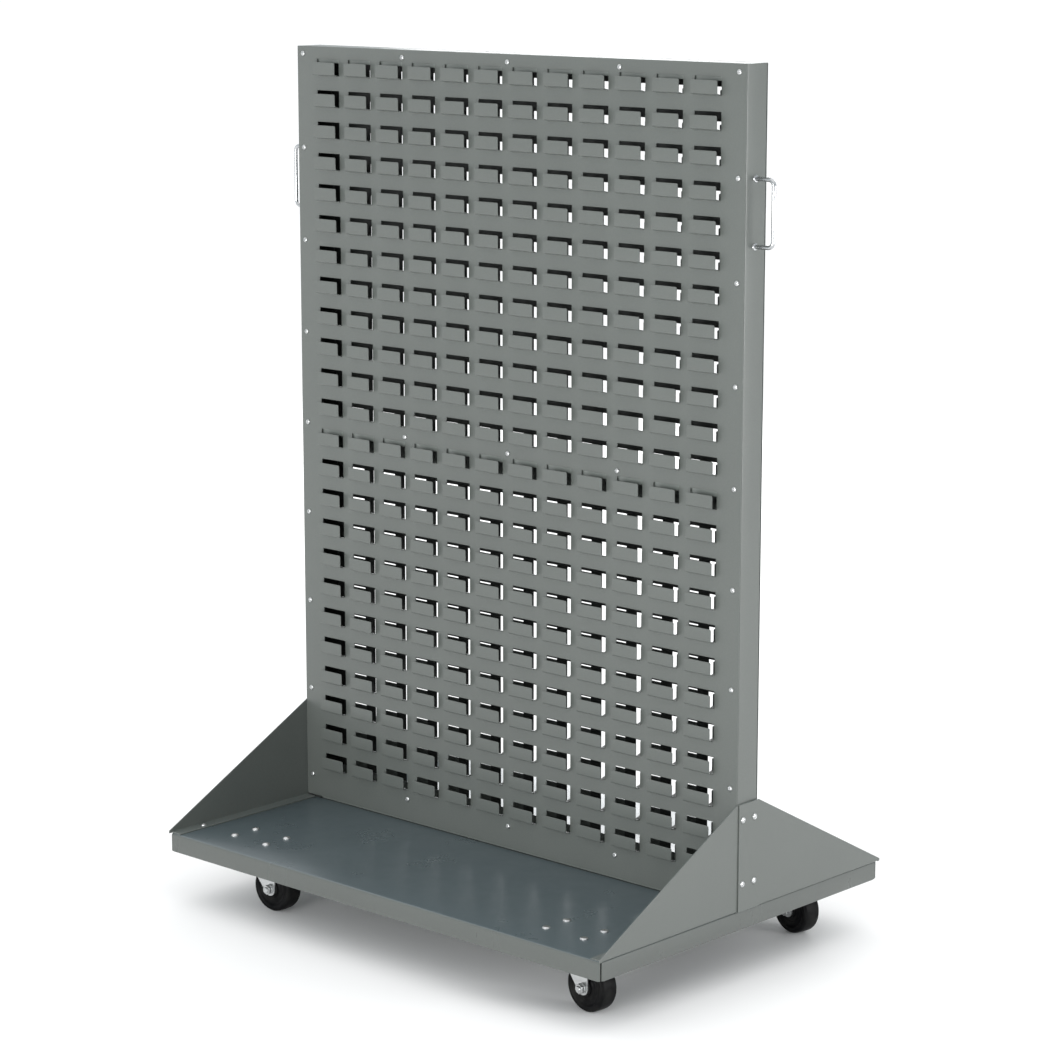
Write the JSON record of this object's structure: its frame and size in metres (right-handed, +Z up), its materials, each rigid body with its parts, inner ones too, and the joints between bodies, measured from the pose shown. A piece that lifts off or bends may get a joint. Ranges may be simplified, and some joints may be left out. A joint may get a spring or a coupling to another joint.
{
  "type": "mobile louvered panel rack",
  "caption": "Mobile double-sided louvered steel panel rack on a gusseted tray base with swivel casters and side pull handles, for hanging storage bins.",
  "frame": {"origin": "on the floor, under the middle of the rack's footprint", "axes": "+Z up, +X along the panels' width to the right as seen from the front, -Y is the front panel's outward normal"},
  "size_m": [0.9858, 0.6536, 1.3481],
  "materials": {
    "gray_enamel": "semi-gloss gray baked enamel",
    "handle_zinc": "bright zinc plated wire",
    "fastener_zinc": "bright zinc plated",
    "caster_zinc": "bright zinc plated pressed steel",
    "wheel_black": "black moulded hard rubber"
  },
  "bodies": {
    "rack": {"base_tray": "gray_enamel", "base_channel_left": "gray_enamel", "base_channel_right": "gray_enamel", "upright_post_left": "gray_enamel", "upright_post_right": "gray_enamel", "top_rail": "gray_enamel", "middle_rail": "gray_enamel", "bottom_rail": "gray_enamel", "louver_panel_front": "gray_enamel", "louver_panel_rear": "gray_enamel", "gusset_front_left": "gray_enamel", "gusset_front_right": "gray_enamel", "gusset_rear_left": "gray_enamel", "gusset_rear_right": "gray_enamel", "handle_left": "handle_zinc", "handle_right": "handle_zinc", "panel_screws_front": "fastener_zinc", "panel_screws_rear": "fastener_zinc", "gusset_screws": "fastener_zinc", "handle_screws": "fastener_zinc", "caster_bolts": "fastener_zinc", "caster_nuts": "fastener_zinc", "upright_bolts": "fastener_zinc", "caster_front_left_plate": "caster_zinc", "caster_front_left_race": "caster_zinc", "caster_front_left_kingpin": "caster_zinc", "caster_front_right_plate": "caster_zinc", "caster_front_right_race": "caster_zinc", "caster_front_right_kingpin": "caster_zinc", "caster_rear_left_plate": "caster_zinc", "caster_rear_left_race": "caster_zinc", "caster_rear_left_kingpin": "caster_zinc", "caster_rear_right_plate": "caster_zinc", "caster_rear_right_race": "caster_zinc", "caster_rear_right_kingpin": "caster_zinc"},
    "swivel_front_left": {"caster_front_left_fork": "caster_zinc", "caster_front_left_balls": "caster_zinc", "caster_front_left_sleeve": "caster_zinc", "caster_front_left_axle_bolt": "caster_zinc", "caster_front_left_axle_nut": "caster_zinc"},
    "wheel_front_left": {"caster_front_left_wheel": "wheel_black"},
    "swivel_front_right": {"caster_front_right_fork": "caster_zinc", "caster_front_right_balls": "caster_zinc", "caster_front_right_sleeve": "caster_zinc", "caster_front_right_axle_bolt": "caster_zinc", "caster_front_right_axle_nut": "caster_zinc"},
    "wheel_front_right": {"caster_front_right_wheel": "wheel_black"},
    "swivel_rear_left": {"caster_rear_left_fork": "caster_zinc", "caster_rear_left_balls": "caster_zinc", "caster_rear_left_sleeve": "caster_zinc", "caster_rear_left_axle_bolt": "caster_zinc", "caster_rear_left_axle_nut": "caster_zinc"},
    "wheel_rear_left": {"caster_rear_left_wheel": "wheel_black"},
    "swivel_rear_right": {"caster_rear_right_fork": "caster_zinc", "caster_rear_right_balls": "caster_zinc", "caster_rear_right_sleeve": "caster_zinc", "caster_rear_right_axle_bolt": "caster_zinc", "caster_rear_right_axle_nut": "caster_zinc"},
    "wheel_rear_right": {"caster_rear_right_wheel": "wheel_black"}
  },
  "joints": [
    {"name": "front_left_swivel", "type": "hinge", "parent": "rack", "child": "swivel_front_left", "pos_m": [-0.336, -0.241, 0.095], "axis": [0, 0, 1], "continuous": true},
    {"name": "front_left_roll", "type": "hinge", "parent": "swivel_front_left", "child": "wheel_front_left", "pos_m": [-0.30009, -0.23849, 0.0381], "axis": [-0.0698, 0.9976, 0], "continuous": true},
    {"name": "front_right_swivel", "type": "hinge", "parent": "rack", "child": "swivel_front_right", "pos_m": [0.336, -0.241, 0.095], "axis": [0, 0, 1], "continuous": true},
    {"name": "front_right_roll", "type": "hinge", "parent": "swivel_front_right", "child": "wheel_front_right", "pos_m": [0.37186, -0.24414, 0.0381], "axis": [0.0872, 0.9962, 0], "continuous": true},
    {"name": "rear_left_swivel", "type": "hinge", "parent": "rack", "child": "swivel_rear_left", "pos_m": [-0.336, 0.241, 0.095], "axis": [0, 0, 1], "continuous": true},
    {"name": "rear_left_roll", "type": "hinge", "parent": "swivel_rear_left", "child": "wheel_rear_left", "pos_m": [-0.30005, 0.23912, 0.0381], "axis": [0.0523, 0.9986, 0], "continuous": true},
    {"name": "rear_right_swivel", "type": "hinge", "parent": "rack", "child": "swivel_rear_right", "pos_m": [0.336, 0.241, 0.095], "axis": [0, 0, 1], "continuous": true},
    {"name": "rear_right_roll", "type": "hinge", "parent": "swivel_rear_right", "child": "wheel_rear_right", "pos_m": [0.37145, 0.23475, 0.0381], "axis": [0.1736, 0.9848, 0], "continuous": true}
  ]
}
